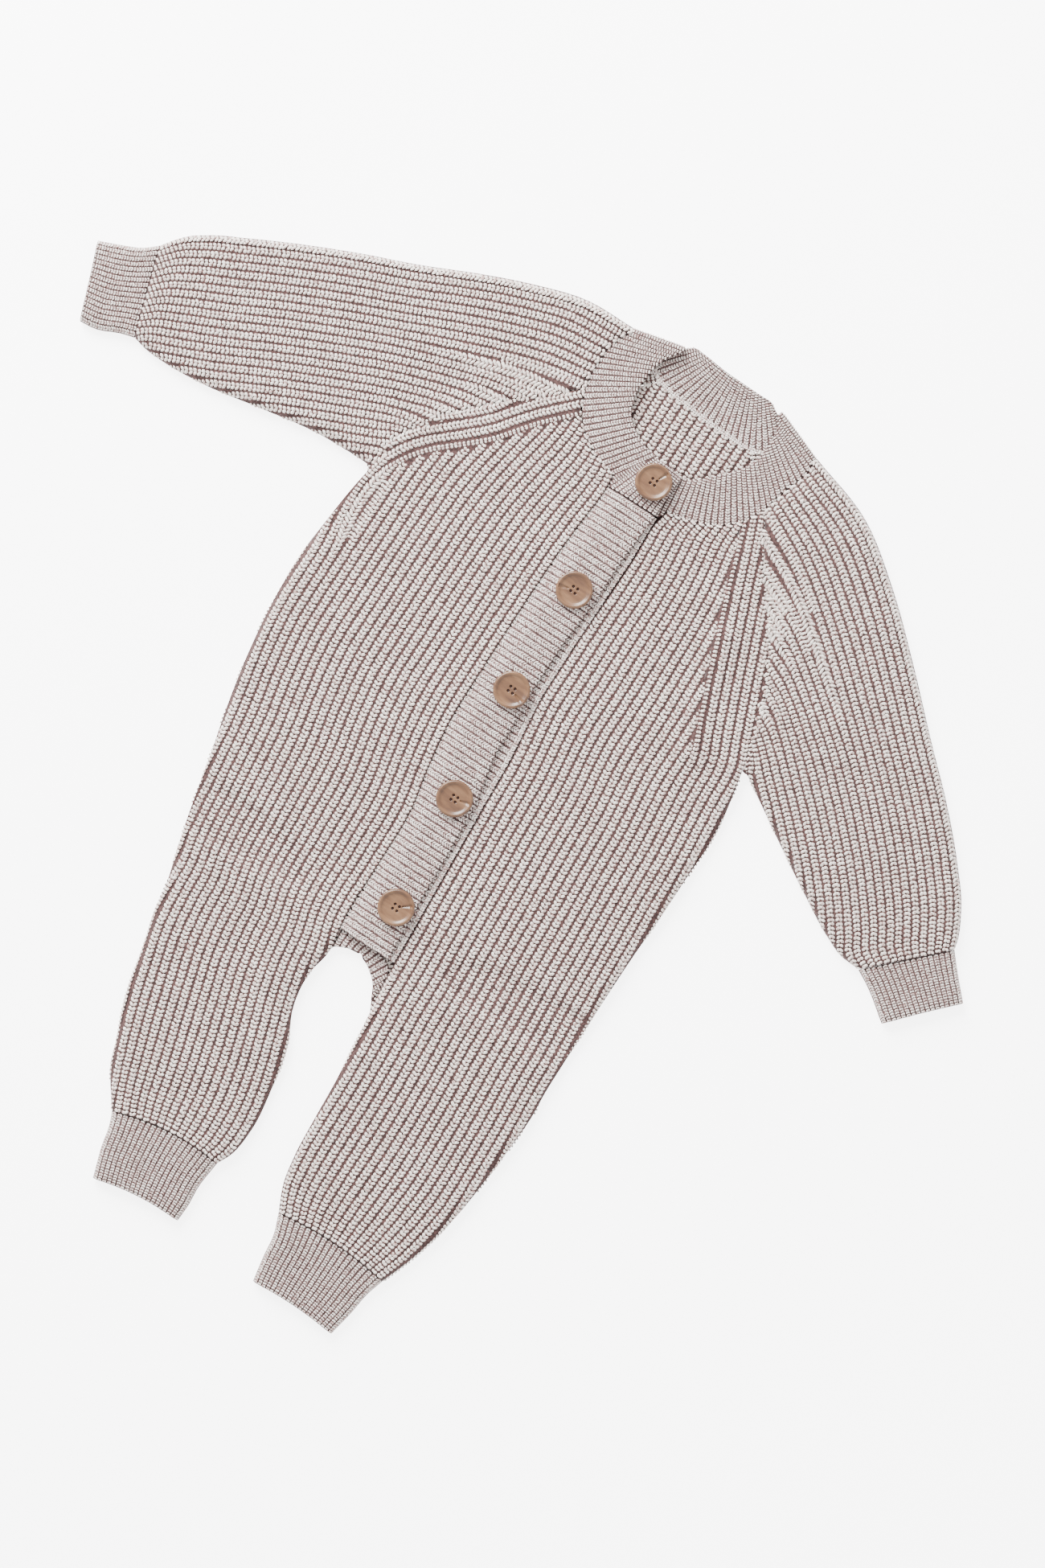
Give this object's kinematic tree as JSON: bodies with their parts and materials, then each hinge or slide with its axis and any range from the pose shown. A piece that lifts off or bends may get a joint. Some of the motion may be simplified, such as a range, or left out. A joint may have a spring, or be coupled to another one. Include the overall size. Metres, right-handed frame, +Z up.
{
  "type": "baby romper",
  "caption": "Long-sleeved baby romper in thick marled rib knit, laid flat: raglan sleeves, ribbed neckband and cuffs, and a button band from neck to crotch.",
  "frame": {"origin": "middle of the garment's box on the surface that it lies on", "axes": "+Z up out of the surface, +Y up the button band towards the neck, +X towards the wearer's left"},
  "size_m": [0.6112, 0.5494, 0.013],
  "materials": {
    "knit": "soft marled wool yarn, cream with a pale pink strand, in a fisherman's rib",
    "fine_knit": "the same yarn in a close one by one rib",
    "horn": "polished tan horn look with brown streaks"
  },
  "bodies": {
    "root": {"front_right": "knit", "front_left": "knit", "back": "knit", "sleeve_right": "knit", "sleeve_left": "knit", "cuff_sleeve_right": "fine_knit", "cuff_sleeve_left": "fine_knit", "cuff_leg_right": "fine_knit", "cuff_leg_left": "fine_knit", "neckband": "fine_knit", "placket_top": "fine_knit", "placket_under": "fine_knit", "crotch_band": "fine_knit", "button_1": "horn", "button_2": "horn", "button_3": "horn", "button_4": "horn", "button_5": "horn"}
  },
  "joints": []
}
